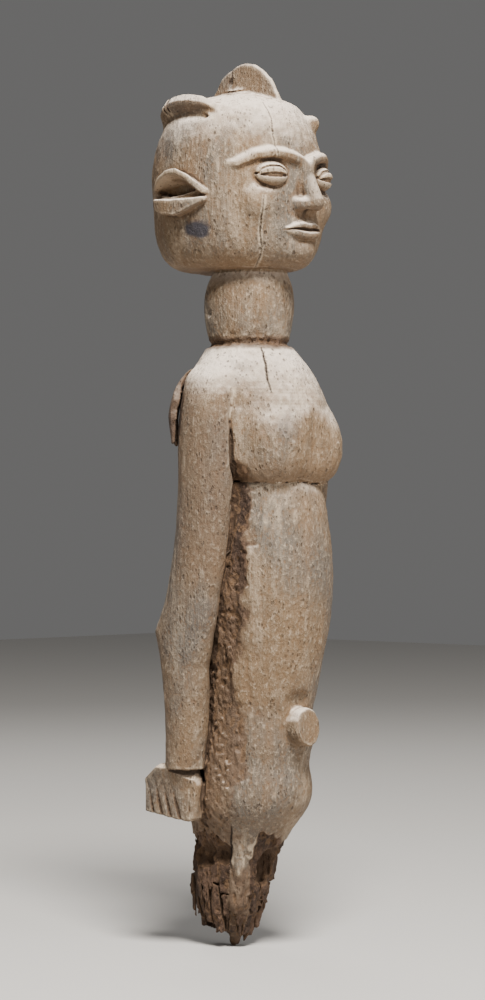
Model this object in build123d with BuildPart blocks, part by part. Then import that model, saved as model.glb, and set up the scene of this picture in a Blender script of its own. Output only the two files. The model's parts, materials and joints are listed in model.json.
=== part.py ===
"""Carved ancestor figure: one hardwood post, split into nodes at the carver's own grooves and edges."""
from build123d import *
import os

os.makedirs("parts", exist_ok=True)

# Millimetres. +Z is up, the figure faces -Y and its right side is -X.
# The origin is the tip of the planted foot. "Forward" is measured along -Y.

# Heights of the cuts that part one carved form from the next
crown_top = 1000
head_foot = 762
neck_foot = 682
chest_foot = 525
hips_top = 206
stub_top = 148
stub_foot = 26

# Head block
head_half_width = 92
head_half_depth = 102
head_forward = 5
dome_top = 969

# Crests
crown_crest_thickness = 13
side_crest_out = 50
side_crest_thickness = 13
side_crest_lean = 45
knob_radius = 9

# Ears
ear_half_length = 40
ear_half_height = 26
ear_height = 853
ear_stand_off = 106
ear_hollow_depth = 24

# Face, laid out in equal thirds below the hairline
chin_height = 768
hairline = 940
face_third = (hairline - chin_height) / 3
eye_width = head_half_width * 2 / 5
eye_height = 866
brow_height = hairline - face_third
nose_foot = brow_height - face_third
mouth_height = nose_foot - face_third / 3
relief = 5
eye_radius = 12
mouth_width = 1.5 * eye_width
lip_radius = 9
face_front = head_forward + head_half_depth

# Arms
elbow_height = 358
wrist_height = 209
hand_foot = 146
hand_turn = 12
hand_thickness = 25
finger_groove = 3

# Navel peg
navel_height = 253
navel_radius = 22
navel_front = 113

# Shoulder flake
flake_thickness = 9

# Trunk sections from the foot up: height, forward, half width, half depth
stub_sections = [
    (stub_foot, -9, 32, 34),
    (60, -6, 42, 44),
    (108, 4, 48, 52),
    (stub_top, 16, 62, 66),
]
hips_sections = [
    (stub_top, 16, 62, 66),
    (186, 27, 66, 70),
    (hips_top, 26, 60, 64),
]
abdomen_sections = [
    (hips_top, 26, 60, 64),
    (278, 31, 64, 70),
    (345, 38, 70, 79),
    (415, 40, 76, 85),
    (475, 38, 74, 82),
    (chest_foot, 34, 68, 75),
]
chest_sections = [
    (chest_foot, 36, 76, 82),
    (560, 40, 86, 92),
    (590, 40, 88, 92),
    (630, 32, 78, 80),
    (660, 25, 60, 62),
    (neck_foot, 22, 44, 46),
]
neck_sections = [
    (neck_foot, 22, 43, 45),
    (712, 22, 49, 51),
    (737, 22, 49, 51),
    (head_foot, 23, 41, 43),
]

head_sections = [
    (head_foot, 57, 63),
    (776, 77, 86),
    (800, 87, 97),
    (832, 91, 101),
    (862, head_half_width, head_half_depth),
    (895, 89, 99),
    (922, 81, 90),
    (944, 67, 75),
    (958, 49, 55),
    (dome_top, 22, 25),
]

# Arm sections from the top down: height, outward, forward, half width, half depth
upper_arm_sections = [
    (658, 60, 24, 16, 24),
    (625, 74, 29, 22, 34),
    (580, 80, 31, 24, 36),
    (480, 80, 26, 24, 34),
    (415, 82, 16, 24, 34),
    (elbow_height, 82, 0, 24, 40),
]
forearm_sections = [
    (elbow_height, 82, 0, 24, 40),
    (318, 80, -1, 24, 30),
    (268, 76, -2, 24, 26),
    (wrist_height, 72, -8, 24, 23),
]

# Splinter sections from the top down: height, outward, forward, half width, half depth
splinter_sections = [
    (126, 36, 40, 8, 9),
    (90, 30, 34, 13, 13),
    (45, 18, 20, 15, 15),
    (0, 3, 3, 8, 9),
]


# Trunk

with BuildPart() as neck:
    for z, forward, half_width, half_depth in neck_sections:
        with BuildSketch(Plane((0, -forward, z))):
            Ellipse(half_width, half_depth)
    loft()

with BuildPart() as chest:
    for z, forward, half_width, half_depth in chest_sections:
        with BuildSketch(Plane((0, -forward, z))):
            Ellipse(half_width, half_depth)
    loft()

with BuildPart() as abdomen:
    for z, forward, half_width, half_depth in abdomen_sections:
        with BuildSketch(Plane((0, -forward, z))):
            Ellipse(half_width, half_depth)
    loft()

with BuildPart() as hips:
    for z, forward, half_width, half_depth in hips_sections:
        with BuildSketch(Plane((0, -forward, z))):
            Ellipse(half_width, half_depth)
    loft()

with BuildPart() as navel_peg:
    with BuildSketch(Plane((0, -navel_front, navel_height), x_dir=(1, 0, 0), z_dir=(0, -1, 0))):
        RegularPolygon(navel_radius, 12)
    extrude(amount=-navel_front / 2)
    chamfer(navel_peg.faces().sort_by(Axis.Y)[0].edges(), 2)
    add(abdomen.part, mode=Mode.SUBTRACT)


# Rotted foot

with BuildPart() as base_stub:
    for z, forward, half_width, half_depth in stub_sections:
        with BuildSketch(Plane((0, -forward, z))):
            Ellipse(half_width, half_depth)
    loft()
    # two rotted pockets, one on each side of the splinter
    with Locations((-66, 20, 108)):
        Sphere(24, mode=Mode.SUBTRACT)
    with Locations((4, -62, 88)):
        Sphere(20, mode=Mode.SUBTRACT)

with BuildPart() as stub_splinter:
    for z, outward, forward, half_width, half_depth in splinter_sections:
        with BuildSketch(Plane((-outward, -forward, z))):
            Ellipse(half_width, half_depth)
    loft()
    add(base_stub.part, mode=Mode.SUBTRACT)


# Arms

with BuildPart() as right_upper_arm:
    for z, outward, forward, half_width, half_depth in upper_arm_sections:
        with BuildSketch(Plane((-outward, -forward, z))):
            Ellipse(half_width, half_depth)
    loft()
    fillet(right_upper_arm.faces().sort_by(Axis.Z)[-1].edges(), 8)
    add(chest.part, mode=Mode.SUBTRACT)
    add(abdomen.part, mode=Mode.SUBTRACT)

with BuildPart() as right_forearm:
    for z, outward, forward, half_width, half_depth in forearm_sections:
        with BuildSketch(Plane((-outward, -forward, z))):
            Ellipse(half_width, half_depth)
    loft()
    add(abdomen.part, mode=Mode.SUBTRACT)

# The hand's plane has its origin at the middle of the hand's foot, x toward the thumb and y up.
hand_plane = Plane(
    (-76, 22, hand_foot),
    x_dir=Vector(0, -1, 0).rotate(Axis.Z, hand_turn),
    z_dir=Vector(-1, 0, 0).rotate(Axis.Z, hand_turn),
)

with BuildPart() as right_hand:
    with BuildSketch(hand_plane):
        with BuildLine():
            Polyline((-35, 9), (24, 0), (33, 3), (35, 40), (26, 62), (-12, 62), (-35, 46), close=True)
        make_face()
    extrude(amount=hand_thickness / 2, both=True)
    # four slanting grooves part the fingers
    with BuildSketch(hand_plane.offset(hand_thickness / 2)):
        with Locations(*[(-22 + 13 * i, 18 - 2 * i) for i in range(4)]):
            SlotOverall(44, finger_groove, rotation=102)
    extrude(amount=-finger_groove, mode=Mode.SUBTRACT)
    split(bisect_by=Plane.XY.offset(wrist_height), keep=Keep.BOTTOM)
    add(hips.part, mode=Mode.SUBTRACT)
    add(abdomen.part, mode=Mode.SUBTRACT)
    add(base_stub.part, mode=Mode.SUBTRACT)

with BuildPart() as left_upper_arm:
    mirror(right_upper_arm.part, about=Plane.YZ)

with BuildPart() as left_forearm:
    mirror(right_forearm.part, about=Plane.YZ)

with BuildPart() as left_hand:
    mirror(right_hand.part, about=Plane.YZ)

with BuildPart() as shoulder_flake:
    for z, forward, half_width, half_depth in chest_sections[1:5]:
        with BuildSketch(Plane((0, -forward, z))):
            Ellipse(half_width + flake_thickness, half_depth + flake_thickness)
    loft()
    with Locations((-68, 24, 612)):
        Box(40, 30, 84, mode=Mode.INTERSECT)
    add(chest.part, mode=Mode.SUBTRACT)
    add(right_upper_arm.part, mode=Mode.SUBTRACT)


# Head

with BuildPart() as head_core:
    for z, half_width, half_depth in head_sections:
        with BuildSketch(Plane((0, -head_forward, z))):
            Ellipse(half_width, half_depth)
    loft()

# The same block a little larger trims the brows and lips to a low relief.
with BuildPart() as relief_limit:
    for z, half_width, half_depth in head_sections[1:7]:
        with BuildSketch(Plane((0, -head_forward, z))):
            Ellipse(half_width + relief, half_depth + relief)
    loft()

ear_plane = Plane((-ear_stand_off, 2, ear_height), x_dir=(0, -1, 0), z_dir=(-1, 0, 0))

with BuildPart() as ear_hollow:
    with BuildSketch(ear_plane):
        with BuildLine():
            ThreePointArc((-ear_half_length + 8, 0), (-4, 11), (ear_half_length - 12, 0))
            ThreePointArc((-ear_half_length + 8, 0), (-4, -11), (ear_half_length - 12, 0))
        make_face()
    extrude(amount=-ear_hollow_depth)

with BuildPart() as right_ear:
    with BuildSketch(ear_plane):
        with BuildLine():
            ThreePointArc((-ear_half_length, 0), (-3, ear_half_height), (ear_half_length, 0))
            ThreePointArc((-ear_half_length, 0), (-3, -ear_half_height), (ear_half_length, 0))
        make_face()
    extrude(amount=-ear_stand_off / 3, taper=-8)
    add(ear_hollow.part, mode=Mode.SUBTRACT)
    add(head_core.part, mode=Mode.SUBTRACT)

with BuildPart() as left_ear:
    mirror(right_ear.part, about=Plane.YZ)

with BuildPart() as head:
    add(head_core.part)
    add(ear_hollow.part, mode=Mode.SUBTRACT)
    mirror(ear_hollow.part, about=Plane.YZ, mode=Mode.SUBTRACT)

with BuildPart() as crown_crest:
    with BuildSketch(Plane.YZ):
        with BuildLine():
            top = Spline((44, 940), (37, 968), (-5, crown_top), (-54, 976), (-76, 930))
            Line(top @ 1, top @ 0)
        make_face()
    extrude(amount=crown_crest_thickness / 2, both=True)
    fillet(crown_crest.faces().filter_by(Axis.X).edges().filter_by(GeomType.BSPLINE), 4)
    add(head.part, mode=Mode.SUBTRACT)

side_crest_plane = Plane(
    (-side_crest_out, 14, 935),
    x_dir=(0, -1, 0),
    z_dir=Vector(-1, 0, 0).rotate(Axis.Y, -side_crest_lean),
)

with BuildPart() as right_side_crest:
    with BuildSketch(side_crest_plane):
        with BuildLine():
            ridge = Spline((-48, -10), (-39, 16), (-4, 36), (30, 26), (46, 0))
            Line(ridge @ 0, ridge @ 1)
        make_face()
    extrude(amount=side_crest_thickness / 2, both=True)
    add(head.part, mode=Mode.SUBTRACT)

with BuildPart() as left_side_crest:
    mirror(right_side_crest.part, about=Plane.YZ)

with BuildPart() as forehead_knob:
    with Locations((45, -74, 930)):
        Sphere(knob_radius)
    add(head.part, mode=Mode.SUBTRACT)


# Face

with BuildPart() as right_eye:
    with BuildSketch(Plane((-eye_width, -face_front + 16, eye_height))):
        with BuildLine():
            lid = EllipticalCenterArc((0, 0), eye_width / 2, eye_radius, start_angle=0, arc_size=180)
            Line(lid @ 1, lid @ 0)
        make_face()
    revolve(axis=Axis((-eye_width, -face_front + 16, eye_height), (1, 0, 0)))
    add(head.part, mode=Mode.SUBTRACT)

with BuildPart() as left_eye:
    mirror(right_eye.part, about=Plane.YZ)

with BuildPart() as brow_ridge:
    with BuildSketch(Plane((0, -face_front - 12, brow_height), x_dir=(1, 0, 0), z_dir=(0, -1, 0))):
        with BuildLine():
            ThreePointArc((-eye_width * 1.75, -12), (-eye_width, 4), (0, -8))
            ThreePointArc((0, -8), (eye_width, 4), (eye_width * 1.75, -12))
            Line((eye_width * 1.75, -12), (eye_width * 1.75, -5))
            ThreePointArc((eye_width * 1.75, -5), (eye_width, 12), (0, 2))
            ThreePointArc((0, 2), (-eye_width, 12), (-eye_width * 1.75, -5))
            Line((-eye_width * 1.75, -5), (-eye_width * 1.75, -12))
        make_face()
    extrude(amount=-80)
    add(relief_limit.part, mode=Mode.INTERSECT)
    add(head.part, mode=Mode.SUBTRACT)
    add(right_eye.part, mode=Mode.SUBTRACT)
    add(left_eye.part, mode=Mode.SUBTRACT)

with BuildPart() as nose:
    with BuildSketch(Plane((0, -face_front + 6, nose_foot))):
        Ellipse(eye_width / 2, 26)
    with BuildSketch(Plane((0, -face_front + 6, brow_height - 8))):
        Ellipse(7, 10)
    loft()
    add(head.part, mode=Mode.SUBTRACT)
    add(brow_ridge.part, mode=Mode.SUBTRACT)

with BuildPart() as lips:
    with BuildSketch(Plane((0, -face_front - 12, mouth_height), x_dir=(1, 0, 0), z_dir=(0, -1, 0))):
        Ellipse(mouth_width / 2, lip_radius)
    extrude(amount=-60)
    add(relief_limit.part, mode=Mode.INTERSECT)
    add(head.part, mode=Mode.SUBTRACT)


figure = {
    "head": head,
    "crown_crest": crown_crest,
    "right_side_crest": right_side_crest,
    "left_side_crest": left_side_crest,
    "forehead_knob": forehead_knob,
    "right_ear": right_ear,
    "left_ear": left_ear,
    "brow_ridge": brow_ridge,
    "right_eye": right_eye,
    "left_eye": left_eye,
    "nose": nose,
    "lips": lips,
    "neck": neck,
    "chest": chest,
    "shoulder_flake": shoulder_flake,
    "abdomen": abdomen,
    "hips": hips,
    "navel_peg": navel_peg,
    "right_upper_arm": right_upper_arm,
    "right_forearm": right_forearm,
    "right_hand": right_hand,
    "left_upper_arm": left_upper_arm,
    "left_forearm": left_forearm,
    "left_hand": left_hand,
    "base_stub": base_stub,
    "stub_splinter": stub_splinter,
}

for name, piece in figure.items():
    piece.part.label = name
    export_step(piece.part, f"parts/{name}.step")
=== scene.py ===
"""The looks of the carved ancestor figure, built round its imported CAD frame.

The figure is one log. Its skin is carved here as two distance fields, the head and the body, each
turned into a mesh and then shared out between the CAD nodes along the carver's own grooves.
Fields work in millimetres, in the frame's axes: +Z up, facing -Y, the figure's right side at -X.
"""

import json
import math

import bpy
import numpy as np
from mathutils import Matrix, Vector

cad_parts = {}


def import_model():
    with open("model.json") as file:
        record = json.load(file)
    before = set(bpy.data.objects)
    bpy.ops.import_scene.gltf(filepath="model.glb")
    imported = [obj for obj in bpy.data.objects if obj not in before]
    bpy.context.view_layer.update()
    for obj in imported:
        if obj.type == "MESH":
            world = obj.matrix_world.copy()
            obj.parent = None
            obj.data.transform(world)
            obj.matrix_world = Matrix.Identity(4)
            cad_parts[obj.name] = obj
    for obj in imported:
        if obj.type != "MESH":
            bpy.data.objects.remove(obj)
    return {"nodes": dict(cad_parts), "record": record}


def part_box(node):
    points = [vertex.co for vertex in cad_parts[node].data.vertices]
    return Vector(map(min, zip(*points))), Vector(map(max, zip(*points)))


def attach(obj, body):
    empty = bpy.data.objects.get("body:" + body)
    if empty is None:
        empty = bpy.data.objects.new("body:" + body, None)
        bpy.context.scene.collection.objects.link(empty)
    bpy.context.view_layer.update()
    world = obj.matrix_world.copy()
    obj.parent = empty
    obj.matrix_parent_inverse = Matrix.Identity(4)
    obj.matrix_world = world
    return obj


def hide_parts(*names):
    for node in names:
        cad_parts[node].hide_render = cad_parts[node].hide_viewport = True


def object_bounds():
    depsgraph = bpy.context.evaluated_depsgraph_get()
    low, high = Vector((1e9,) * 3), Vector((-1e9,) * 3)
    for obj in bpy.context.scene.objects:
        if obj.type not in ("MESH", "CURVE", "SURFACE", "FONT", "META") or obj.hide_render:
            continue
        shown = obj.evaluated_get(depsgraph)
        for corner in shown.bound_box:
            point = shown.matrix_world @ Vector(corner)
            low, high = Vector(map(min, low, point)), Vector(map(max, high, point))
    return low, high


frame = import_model()
cad_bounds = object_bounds()

MM = 0.001
HEAD_CELL = 1.15
BODY_CELL = 1.35
BLOCK = 6
FAR = 1000.0


# ---- the frame, in millimetres


def box(node):
    """Lowest and highest corners of a CAD node."""
    low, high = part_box(node)
    return np.array(low) / MM, np.array(high) / MM


def sections(node, count):
    """Rows of height, centre x, centre y, half width and half depth of a CAD node's outline."""
    mesh = frame["nodes"][node].data
    points = np.empty(len(mesh.vertices) * 3, np.float32)
    mesh.vertices.foreach_get("co", points)
    points = points.reshape(-1, 3) / MM
    edges = np.empty(len(mesh.edges) * 2, np.int32)
    mesh.edges.foreach_get("vertices", edges)
    start, end = points[edges[0::2]], points[edges[1::2]]
    low, high = box(node)
    rows = []
    for z in np.linspace(low[2] + 0.4, high[2] - 0.4, count):
        crossing = (start[:, 2] - z) * (end[:, 2] - z) < 0
        a, b = start[crossing], end[crossing]
        share = ((z - a[:, 2]) / (b[:, 2] - a[:, 2]))[:, None]
        cut = a + share * (b - a)
        lowest, highest = cut.min(0), cut.max(0)
        middle, half = (lowest + highest) / 2, (highest - lowest) / 2
        rows.append((z, middle[0], middle[1], half[0], half[1]))
    return rows


# ---- shapes as distance fields

rng = np.random.default_rng(11)
LATTICE = (rng.random(64**3, dtype=np.float32) * 2 - 1)


def noise(x, y, z, size, seed=0):
    """Smooth value noise from -1 to 1. size is one length, or one for each axis."""
    sizes = (size, size, size) if np.isscalar(size) else size
    cells, blends = [], []
    for value, length, shift in zip((x, y, z), sizes, (0.37, 0.71, 0.13)):
        q = value / length + shift + seed * 7.31
        whole = np.floor(q)
        part = (q - whole).astype(np.float32)
        cells.append(whole.astype(np.int32))
        blends.append(part * part * (3 - 2 * part))
    i, j, k = cells
    u, v, w = blends
    i0, i1 = (i & 63) << 12, ((i + 1) & 63) << 12
    j0, j1 = (j & 63) << 6, ((j + 1) & 63) << 6
    k0, k1 = k & 63, (k + 1) & 63

    def row(a, b):
        first = LATTICE[a + b + k0]
        return first + w * (LATTICE[a + b + k1] - first)

    near = row(i0, j0)
    near += v * (row(i0, j1) - near)
    far = row(i1, j0)
    far += v * (row(i1, j1) - far)
    return near + u * (far - near)


def ramp(value, start, end):
    """0 before start, 1 after end, smooth between."""
    t = np.clip((value - start) / (end - start), 0, 1)
    return t * t * (3 - 2 * t)


def join(a, b, k):
    """Smooth union."""
    h = np.maximum(k - np.abs(a - b), 0) / k
    return np.minimum(a, b) - h * h * k * 0.25


def meet(a, b, k):
    """Smooth intersection."""
    return -join(-a, -b, k)


def carve(a, cutter, k):
    """The solid a with the cutter taken out of it."""
    return -join(-a, cutter, k)


def ball(x, y, z, centre, radii):
    """An ellipsoid."""
    dx, dy, dz = x - centre[0], y - centre[1], z - centre[2]
    a, b, c = radii
    k0 = np.sqrt((dx / a) ** 2 + (dy / b) ** 2 + (dz / c) ** 2)
    k1 = np.sqrt((dx / a**2) ** 2 + (dy / b**2) ** 2 + (dz / c**2) ** 2)
    return k0 * (k0 - 1) / np.maximum(k1, 1e-5)


def rod(x, y, z, start, end, r_start, r_end):
    """A round bar from start to end, with a radius at each end."""
    a, b = np.array(start, float), np.array(end, float)
    along = b - a
    dx, dy, dz = x - a[0], y - a[1], z - a[2]
    h = np.clip((dx * along[0] + dy * along[1] + dz * along[2]) / along.dot(along), 0, 1)
    far = np.sqrt((dx - h * along[0]) ** 2 + (dy - h * along[1]) ** 2 + (dz - h * along[2]) ** 2)
    return far - (r_start + h * (r_end - r_start))


def line_distance(u, v, points):
    """Distance in a plane to a line through points."""
    best = np.full(u.shape, FAR, np.float32)
    for (au, av), (bu, bv) in zip(points, points[1:]):
        du, dv = bu - au, bv - av
        h = np.clip(((u - au) * du + (v - av) * dv) / (du * du + dv * dv), 0, 1)
        best = np.minimum(best, np.hypot(u - au - h * du, v - av - h * dv))
    return best


class Column:
    """An upright solid with an elliptical section that changes with height."""

    STEP = 0.05
    MARGIN = 40

    def __init__(self, rows):
        rows = np.array(sorted(rows))
        self.low = rows[0, 0]
        heights = np.arange(self.low - self.MARGIN, rows[-1, 0] + self.MARGIN, self.STEP)
        self.table = np.array([np.interp(heights, rows[:, 0], rows[:, i]) for i in range(1, 5)], np.float32)
        slope = np.gradient((self.table[2] + self.table[3]) / 2, self.STEP)
        self.steepness = np.sqrt(1 + np.clip(slope, -3, 3) ** 2).astype(np.float32)

    def at(self, z):
        index = ((z - self.low + self.MARGIN) / self.STEP).astype(np.int32)
        return np.clip(index, 0, self.table.shape[1] - 1)

    def __call__(self, x, y, z):
        i = self.at(z)
        cx, cy, hx, hy = (self.table[n][i] for n in range(4))
        dx, dy = (x - cx) / hx, (y - cy) / hy
        k0 = np.sqrt(dx * dx + dy * dy)
        k1 = np.sqrt((dx / hx) ** 2 + (dy / hy) ** 2)
        return k0 * (k0 - 1) / np.maximum(k1, 1e-5) / self.steepness[i]

    def front(self, x, z):
        """y of the front surface at x and z, for single values."""
        i = int(np.clip((z - self.low + self.MARGIN) / self.STEP, 0, self.table.shape[1] - 1))
        cx, cy, hx, hy = self.table[:, i]
        return cy - hy * math.sqrt(max(0.0, 1 - ((x - cx) / hx) ** 2))


def crack(x, y, z, spot, angle, low, high, width, depth, skin, seed):
    """A drying crack: an upright wedge that wanders. angle is the way it faces, in degrees from the front."""
    out = math.radians(angle)
    nx, ny = -math.sin(out), -math.cos(out)
    tx, ty = -ny, nx
    side = (x - spot[0]) * tx + (y - spot[1]) * ty
    side = side + 2.2 * noise(z, z * 0, z * 0, 17.0, seed) + 0.7 * noise(z, z * 0, z * 0, 4.0, seed + 1)
    facing = (x - spot[0]) * nx + (y - spot[1]) * ny
    middle, reach = (low + high) / 2, (high - low) / 2
    taper = np.clip(1 - np.abs(z - middle) / reach, 0, 1) ** 0.5
    opening = width / 2 * taper * np.clip(1 + skin / depth, 0, 1)
    slit = np.abs(side) - opening
    return np.where((facing > -35) & (taper > 0), slit, FAR)


def cracks(x, y, z, places, skin):
    """The nearest of several cracks. A place has all that crack() takes before skin, then the seed."""
    cut = np.full(x.shape, FAR, np.float32)
    for *place, seed in places:
        cut = np.minimum(cut, crack(x, y, z, *place, skin, seed))
    return cut


# ---- driving places, from the frame

head_low, head_high = box("head")
neck_low = box("neck")[0]
chest_low, chest_high = box("chest")
belly_low = box("abdomen")[0]
hips_low, hips_high = box("hips")
stub_high = box("base_stub")[1]
peg_low, peg_high = box("navel_peg")
hand_low = box("right_hand")[0]
ear_low, ear_high = box("right_ear")
crest_low, crest_high = box("crown_crest")
knob_low, knob_high = box("forehead_knob")
flake_low, flake_high = box("shoulder_flake")
eye_low, eye_high = box("right_eye")
nose_low, nose_high = box("nose")
lips_low, lips_high = box("lips")

HEAD_RATIO = (head_high[0] - head_low[0]) / (head_high[1] - head_low[1])
head_column = Column([(z, 0, cy, hy * HEAD_RATIO, hy) for z, cx, cy, hx, hy in sections("head", 60)])
neck_column = Column(sections("neck", 24))
trunk_rows = sections("base_stub", 20) + sections("hips", 16) + sections("abdomen", 50) + sections("chest", 40)
WAIST = (hips_high[2] - 18, hips_high[2] + 60)
trunk_column = Column([row for row in trunk_rows if not WAIST[0] < row[0] < WAIST[1]])

# The arms are cut by the trunk in the frame, so only their outer and back faces are read from it.
ARM_HALF_WIDTH = 24.0
ARM_DEPTH_AT = (209, 268, 318, 358, 400, 480, 580, 625, 658)
ARM_HALF_DEPTHS = (23, 26, 30, 40, 35, 34, 36, 34, 24)


def arm_column():
    """The right arm, as if it stood at +X."""
    rows = []
    for node, count in (("right_forearm", 24), ("right_upper_arm", 44)):
        for z, cx, cy, hx, hy in sections(node, count):
            half_depth = float(np.interp(z, ARM_DEPTH_AT, ARM_HALF_DEPTHS))
            half_width = float(np.interp(z, (209, 625, 658), (ARM_HALF_WIDTH, ARM_HALF_WIDTH, 17)))
            rows.append((z, -(cx - hx) - half_width, cy + hy - half_depth, half_width, half_depth))
    return Column(rows)


arm = arm_column()
elbow_height = box("right_forearm")[1][2]
wrist_height = box("right_forearm")[0][2]
shoulder_height = box("right_upper_arm")[1][2]


# ---- head

HEAD_NODES = (
    "head", "crown_crest", "right_side_crest", "left_side_crest", "forehead_knob", "right_ear", "left_ear",
    "brow_ridge", "right_eye", "left_eye", "nose", "lips",
)
eye_out = -(eye_low[0] + eye_high[0]) / 2
eye_height = (eye_low[2] + eye_high[2]) / 2
nose_foot = nose_low[2]
brow_height = nose_high[2] + 8
mouth_height = (lips_low[2] + lips_high[2]) / 2
face_front = head_low[1]
ear_middle = (ear_low[1] + ear_high[1]) / 2
ear_half = (ear_high[1] - ear_low[1]) / 2
ear_height = (ear_low[2] + ear_high[2]) / 2 - 5


def skull(x, y, z):
    """The barrel-shaped block with its flattish underside and domed top."""
    block = head_column(x, y, z)
    block = meet(block, head_low[2] - z + 0.02 * np.abs(y), 8)
    return meet(block, z - head_high[2], 22)


def crown_crest(x, y, z):
    """The thin fin along the midline, stepped at its back."""
    middle, half = (crest_low[1] + crest_high[1]) / 2, (crest_high[1] - crest_low[1]) / 2
    forward = (middle - y) / half
    rise = crest_high[2]
    top_at = (-1.1, -0.86, -0.8, -0.66, -0.58, -0.4, -0.18, 0.02, 0.28, 0.5, 0.72, 0.88, 1.0, 1.06)
    drops = (70, 46, 33, 22, 15, 8, 2, 0, 3, 10, 22, 36, 50, 66)
    top = rise - np.interp(forward, top_at, drops).astype(np.float32)
    top = top + 0.8 * noise(x, y, z, 7.0, 3)
    edge = np.maximum((z - top) * 0.72, (np.abs(forward) - 1.02) * half)
    edge = np.maximum(edge, crest_low[2] - 12 - z)
    half_thick = 4.0 + 0.075 * np.clip(top - z, 0, 40)
    return meet(edge, np.abs(x + 1.2 * noise(x * 0, y, z, 30.0, 5)) - half_thick, 3.0)


SIDE_CREST_FOOT = (52.5, 932.0)
SIDE_CREST_MIDDLE = 14
DIAGONAL = math.sqrt(0.5)


def side_crest_frame(ax, y, z):
    """Coordinates forward along a side crest, up its slant and off its outer face."""
    out, up = ax - SIDE_CREST_FOOT[0], z - SIDE_CREST_FOOT[1]
    return SIDE_CREST_MIDDLE - y, (out + up) * DIAGONAL, (out - up) * DIAGONAL


def side_crest(ax, y, z, right):
    """A fin over the temple that leans outward over an undercut."""
    along, reach, off = side_crest_frame(ax, y, z)
    top_at = (-54, -48, -39, -24, -4, 14, 30, 42, 50, 57)
    tops = (-30, -4, 17, 30, 35, 34.5, 30, 22, 11, -10)
    top = np.interp(along, top_at, tops).astype(np.float32) + 0.7 * noise(ax, y, z, 6.0, 8)
    half_thick = 7.4 - 2.6 * (np.abs(along) / 48) ** 2
    fin = meet(np.maximum((reach - top) * 0.85, np.abs(along) - 56), np.abs(off) - half_thick, 3.5)
    for place, width in ((-25.0, 2.6), (-18.0, 1.7)):
        cut = np.abs(along - place + 0.16 * (reach - 20)) - width * ramp(reach, 16, 34)
        fin = np.where(right & (reach > 14), carve(fin, cut, 1.0), fin)
    return fin


def undercut(ax, y, z):
    """The hollow under a side crest."""
    along, reach, off = side_crest_frame(ax, y, z)
    bow = (along / 44) ** 2
    return np.hypot(off - 13.0, reach - 22 + 12 * bow) - 6.0 * (1 - bow)


def ear(y, z, skin):
    """Two flanges round a deep hollow, joined at the front like a half-open shell."""
    along = ear_middle - y
    up = z - ear_height
    length = ear_half - 4
    stand = 13.5 * np.sqrt(np.clip(1 - (along / (length + 6)) ** 2, 0, 1))
    upper = (
        (length, 0), (length * 0.8, 6), (length * 0.5, 14.5), (length * 0.2, 19.5),
        (-length * 0.15, 19), (-length * 0.6, 13.5), (-length * 0.98, 5),
    )
    flange = line_distance(along, up - 0.45 * skin + 2, upper) - (2.6 + 0.9 * ramp(along, -30, 25))
    flange = meet(flange, skin - stand, 2.0)
    lower = (
        (length, -8), (length * 0.5, -13.5), (length * 0.1, -15.5), (-length * 0.5, -13), (-length * 0.96, -9),
    )
    plump_at = (-length, -length * 0.4, length * 0.2, length)
    plump = np.interp(along, plump_at, (5.5, 8.5, 8.8, 2.6)).astype(np.float32)
    shelf = line_distance(along, up + 0.12 * skin + 0.5, lower) - plump
    shelf = meet(shelf, skin - stand - 1.5, 2.5)
    return np.minimum(flange, shelf)


def ear_hollow(y, z, skin):
    """The deep hollow between the two flanges."""
    along = ear_middle - y
    up = z - ear_height
    length = ear_half - 6
    bow = np.clip(1 - ((along + 4) / length) ** 2, 0, 1)
    return np.maximum(np.abs(up - 3.0 - 2.5 * bow) - 8.8 * bow, -skin - 11 * bow) + (bow <= 0) * FAR


def eye_frame(ax, y, z):
    """Coordinates across, out of and up the eye, turned to face square off the head."""
    turn = math.radians(24)
    dx, dy = ax - eye_out, y - head_column.front(eye_out, eye_height)
    across = dx * math.cos(turn) + dy * math.sin(turn)
    out = dx * math.sin(turn) - dy * math.cos(turn)
    return across, out, z - eye_height


def eye(ax, y, z):
    """A bulging ball under two heavy lids that leave a slit."""
    across, out, up = eye_frame(ax, y, z)
    lids = ball(across, out, up, (0, -4.0, 0), (19.5, 15.5, 14.5))
    bow = np.sqrt(np.clip(1 - (across / 16.5) ** 2, 0, 1))
    slit = np.abs(up + 1.8) - 3.2 * bow + 0.5
    lids = carve(lids, np.maximum(slit, -out - 2), 1.2)
    globe = ball(across, out, up, (0, -4.0, -0.8), (17.2, 13.0, 12.0))
    crease = np.maximum(np.abs(up - 8.4 * bow) - 1.1, -lids - 1.9)
    lids = carve(lids, crease, 1.0)
    return np.minimum(lids, globe)


def eye_socket(ax, y, z):
    across, out, up = eye_frame(ax, y, z)
    return ball(across, out, up, (1, 3.5, 1.0), (22, 8.5, 16.5))


def brow(ax, y, z, skin):
    arch = ((3, -7), (9, 0.5), (eye_out * 0.6, 5.5), (eye_out, 7.5), (eye_out * 1.4, 4.5), (eye_out * 1.75, -5.5))
    away = line_distance(ax, z - brow_height, arch)
    width = 6.4 - 2.4 * ramp(ax, eye_out, eye_out * 1.8)
    return np.where(y < 0, np.hypot(away, (skin - 0.6) * 0.9) - width, FAR)


def nose(ax, y, z):
    root = (0, face_front + 1, brow_height - 8)
    tip = (0, face_front - 14.5, nose_foot + 10.5)
    bridge = rod(ax, y, z, root, tip, 7.6, 10.2)
    bridge = join(bridge, ball(ax, y, z, (11.2, face_front - 3.5, nose_foot + 8.2), (8.0, 11.5, 7.8)), 6)
    bridge = meet(bridge, nose_foot - z - 0.16 * (y - face_front), 4)
    return carve(bridge, ball(ax, y, z, (6.6, face_front - 8.0, nose_foot - 0.5), (3.4, 4.6, 3.4)), 1.5)


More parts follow.
